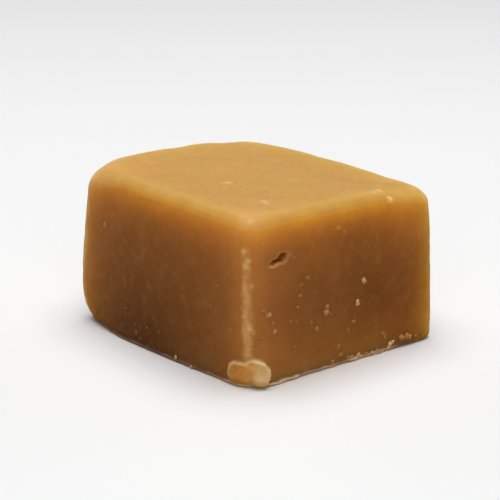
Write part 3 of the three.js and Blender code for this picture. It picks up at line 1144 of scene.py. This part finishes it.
def point_at(thing, place, aim):
    """Moves a light or the camera to a place and turns it towards its aim."""
    thing.location = place
    thing.rotation_euler = (Vector(aim) - Vector(place)).to_track_quat("-Z", "Y").to_euler()


def add_light(name, shape, size, power, place, aim):
    """A soft area light turned towards its aim."""
    data = bpy.data.lights.new(name, "AREA")
    data.shape = shape
    data.size = size[0]
    data.size_y = size[-1]
    data.energy = power
    lamp = place_object(name, data)
    point_at(lamp, place, aim)
    lamp.visible_camera = False


def build_lights(settings):
    """A wide light overhead, a fill from the front, and a low light off each hidden side."""
    width = 2 * OVERHEAD_HEIGHT * math.tan(settings.light_spread)
    above = (0, 0, OVERHEAD_HEIGHT)
    add_light("overhead_light", "DISK", (width,), settings.light_power, above, (0, 0, 0))
    front = Vector((EYE[0], EYE[1], 0)).normalized()
    for name, power, towards, height in (
        ("front_light", settings.front_power, front, FRONT_HEIGHT),
        ("far_light", settings.side_power, Vector((0, 1, 0)), SIDE_HEIGHT),
        ("right_light", settings.side_power, Vector((1, 0, 0)), SIDE_HEIGHT),
    ):
        place = towards * LOW_DISTANCE + Vector((0, 0, height))
        add_light(name, "RECTANGLE", LOW_SIZE, power, place, LOW_AIM)


def build_world(settings):
    """An even, dim white surround."""
    world = bpy.data.worlds.new("soft_surround")
    world.use_nodes = True
    tree = world.node_tree
    tree.nodes.clear()
    output = tree.nodes.new("ShaderNodeOutputWorld")
    seen = tree.nodes.new("ShaderNodeLightPath").outputs["Is Camera Ray"]
    strength = blended(tree, settings.surround, SEEN_SURROUND, seen)
    surround = add_node(tree, "ShaderNodeBackground", Color=(1, 1, 1), Strength=strength)
    tree.links.new(surround.outputs["Background"], output.inputs["Surface"])
    bpy.context.scene.world = world
    bpy.context.scene.view_settings.view_transform = "Standard"


def build_camera(settings):
    """The camera, at the height of a person leaning over a table."""
    data = bpy.data.cameras.new("camera")
    data.lens = settings.lens
    data.clip_start, data.clip_end = CLIP
    camera = place_object("camera", data)
    point_at(camera, Vector(EYE) * MM, Vector(AIM) * MM)
    bpy.context.scene.camera = camera


# Settings, operators and panel ------------------------------------------------------------------


def colour_setting(name, description, default):
    """A colour that a user may change."""
    return FloatVectorProperty(
        name=name, description=description, default=default, subtype="COLOR", size=3, min=0, max=1
    )


def length_setting(name, description, default, least):
    """A length in metres that a user may change."""
    return FloatProperty(
        name=name, description=description, default=default, min=least, subtype="DISTANCE",
        unit="LENGTH",
    )


def power_setting(name, description, default):
    """The power of a light that a user may change."""
    return FloatProperty(
        name=name, description=description, default=default, min=0, subtype="POWER", unit="POWER"
    )


def count_setting(name, description, default, most):
    """A number of crumbs that a user may change."""
    return IntProperty(name=name, description=description, default=default, min=0, max=most)


class FudgeBlockSettings(bpy.types.PropertyGroup):
    """Sizes and colours of the block."""

    size: FloatVectorProperty(
        name="Size", description="Outside size of the block", size=3, min=0.001,
        default=tuple(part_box(NODE)[1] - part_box(NODE)[0]), subtype="XYZ_LENGTH", unit="LENGTH",
    )
    relief: FloatProperty(
        name="Relief", description="Strength of the small lumps and knife drag", default=1.0,
        min=0, max=3, subtype="FACTOR",
    )
    # Painted light: the top and the crest are painted lighter than the sides, partly a drier top skin
    # and partly light from above; the top's paler tone is also a painted sheen.
    top_colour: colour_setting("Top", "The top of the slab", (0.527, 0.279, 0.069))
    crest_colour: colour_setting("Crest", "The rounded edge of the top", (0.53, 0.270, 0.042))
    side_colour: colour_setting("Sides", "The cut sides", (0.325, 0.132, 0.030))
    golden_colour: colour_setting("Golden", "The clearer end of the sides", (0.245, 0.083, 0.0085))
    # Painted glow: the sides just below the top are painted brighter orange, for light that shines
    # through from the top.
    upper_colour: colour_setting("Upper Sides", "The sides just below the top", (0.69, 0.305, 0.042))
    # Also laid on as painted shade low on the left side, besides the darker clouds of the mottling.
    deep_colour: colour_setting("Clouding", "The darker clouds in the sugar", (0.135, 0.045, 0.010))
    # Also laid on thinly as a painted highlight along the crest's rim.
    worn_colour: colour_setting("Worn", "Rubbed edges, burr and dry rims", (0.96, 0.64, 0.28))
    # Painted light: the strip above the underside is painted brighter, for light thrown up from below.
    foot_colour: colour_setting("Foot", "The strip above the underside", (0.95, 0.40, 0.075))
    handled_colour: colour_setting("Handled", "The strip beside a worn edge", (0.66, 0.31, 0.115))
    smear_colour: colour_setting("Smear", "The smear over the foot", (0.84, 0.425, 0.120))
    roll_colour: colour_setting("Roll", "The rolled rim of the smear", (0.98, 0.75, 0.38))
    burr_colour: colour_setting("Burr", "The thin burr round the foot", (1.0, 0.76, 0.50))
    # Painted shade: the inside of the pit is painted darker, for the shade in the hollow.
    pit_colour: colour_setting("Pit", "Inside the torn pit", (0.30, 0.078, 0.004))


class FudgeCrumbSettings(bpy.types.PropertyGroup):
    """Sizes, numbers and colours of the crumbs."""

    count: count_setting("On the Sides", "Crumbs strewn over the four sides", 64, 600)
    top_count: count_setting("On Top", "Crumbs strewn over the top", 12, 300)
    foot_count: count_setting("Round the Foot", "Crumbs caught round the foot", 70, 400)
    smallest: length_setting("Smallest", "Width of the smallest crumb", 0.00011, 0.00002)
    largest: length_setting("Largest", "Width of the largest strewn crumb", 0.00030, 0.00005)
    seed: IntProperty(
        name="Seed", description="Picks another strewing of the crumbs", default=7, min=0
    )
    # The darkest crumbs; the crumbs on the left side lean towards this colour.
    dark_crumb_colour: colour_setting("Buried Crumb", "The moistest crumbs", (0.19, 0.088, 0.042))
    colour: colour_setting("Crumb", "Most of the crumbs", (0.53, 0.265, 0.085))
    dry_colour: colour_setting("Dry Crumb", "The driest crumbs", (0.90, 0.63, 0.34))


class FudgeStageSettings(bpy.types.PropertyGroup):
    """Floor, lights and camera."""

    floor_size: length_setting("Floor Size", "Width of the square floor", 3.0, 0.1)
    floor_colour: colour_setting("Floor", "The floor", (0.86, 0.86, 0.86))
    bounce_colour: colour_setting("Bounce", "Tint of the floor's light", (0.50, 0.325, 0.14))
    light_power: power_setting("Light", "Power of the overhead light", 2.62)
    light_spread: FloatProperty(
        name="Light Spread", description="Half angle of the overhead light, seen from the block",
        default=math.radians(25), min=math.radians(1), max=math.radians(80), subtype="ANGLE",
        unit="ROTATION",
    )
    front_power: power_setting("Front Light", "Power of the fill from the front", 1.65)
    side_power: power_setting("Side Lights", "Power of each light off a hidden side", 1.2)
    surround: FloatProperty(
        name="Surround", description="Strength of the light from all round", default=0.06, min=0,
        subtype="FACTOR",
    )
    lens: FloatProperty(
        name="Lens", description="Focal length of the camera", default=118.7, min=10,
        subtype="DISTANCE_CAMERA", unit="CAMERA",
    )


class FUDGE_OT_block(bpy.types.Operator):
    """Build the fudge block"""

    bl_idname = "fudge.block"
    bl_label = "Fudge Block"

    def execute(self, context):
        settings = context.scene.fudge_block
        block = build_block(settings)
        block.data.materials.append(cut_fudge(settings))
        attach(block, BODY)
        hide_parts(NODE)
        return {"FINISHED"}


class FUDGE_OT_crumbs(bpy.types.Operator):
    """Strew the crumbs over the block"""

    bl_idname = "fudge.crumbs"
    bl_label = "Crumbs"

    def execute(self, context):
        settings = context.scene.fudge_crumbs
        crumbs = build_crumbs(settings)
        crumbs.data.materials.append(crumb_fudge(settings))
        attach(crumbs, BODY)
        return {"FINISHED"}


class FUDGE_OT_stage(bpy.types.Operator):
    """Lay the floor and set up the lights and the camera"""

    bl_idname = "fudge.stage"
    bl_label = "Floor, Lights and Camera"

    def execute(self, context):
        settings = context.scene.fudge_stage
        build_floor(settings)
        build_lights(settings)
        build_world(settings)
        build_camera(settings)
        return {"FINISHED"}


class FUDGE_PT_panel(bpy.types.Panel):
    """Settings and building steps of the fudge block"""

    bl_label = "Fudge Block"
    bl_idname = "FUDGE_PT_panel"
    bl_space_type = "VIEW_3D"
    bl_region_type = "UI"
    bl_category = "Fudge"

    def draw(self, context):
        for group_name, operator in (
            ("fudge_block", FUDGE_OT_block),
            ("fudge_crumbs", FUDGE_OT_crumbs),
            ("fudge_stage", FUDGE_OT_stage),
        ):
            settings = getattr(context.scene, group_name)
            box = self.layout.box()
            for name in settings.__annotations__:
                box.prop(settings, name)
            box.operator(operator.bl_idname)


SETTINGS = {
    "fudge_block": FudgeBlockSettings,
    "fudge_crumbs": FudgeCrumbSettings,
    "fudge_stage": FudgeStageSettings,
}
CLASSES = (*SETTINGS.values(), FUDGE_OT_block, FUDGE_OT_crumbs, FUDGE_OT_stage, FUDGE_PT_panel)


def register():
    """Makes the settings, the operators and the panel known to Blender."""
    for each in CLASSES:
        bpy.utils.register_class(each)
    for name, group in SETTINGS.items():
        setattr(bpy.types.Scene, name, PointerProperty(type=group))


def unregister():
    """Takes them away again."""
    for name in SETTINGS:
        delattr(bpy.types.Scene, name)
    for each in reversed(CLASSES):
        bpy.utils.unregister_class(each)


def main():
    """Builds the whole scene."""
    register()
    bpy.ops.fudge.block()
    bpy.ops.fudge.crumbs()
    bpy.ops.fudge.stage()


if __name__ == "__main__":
    main()
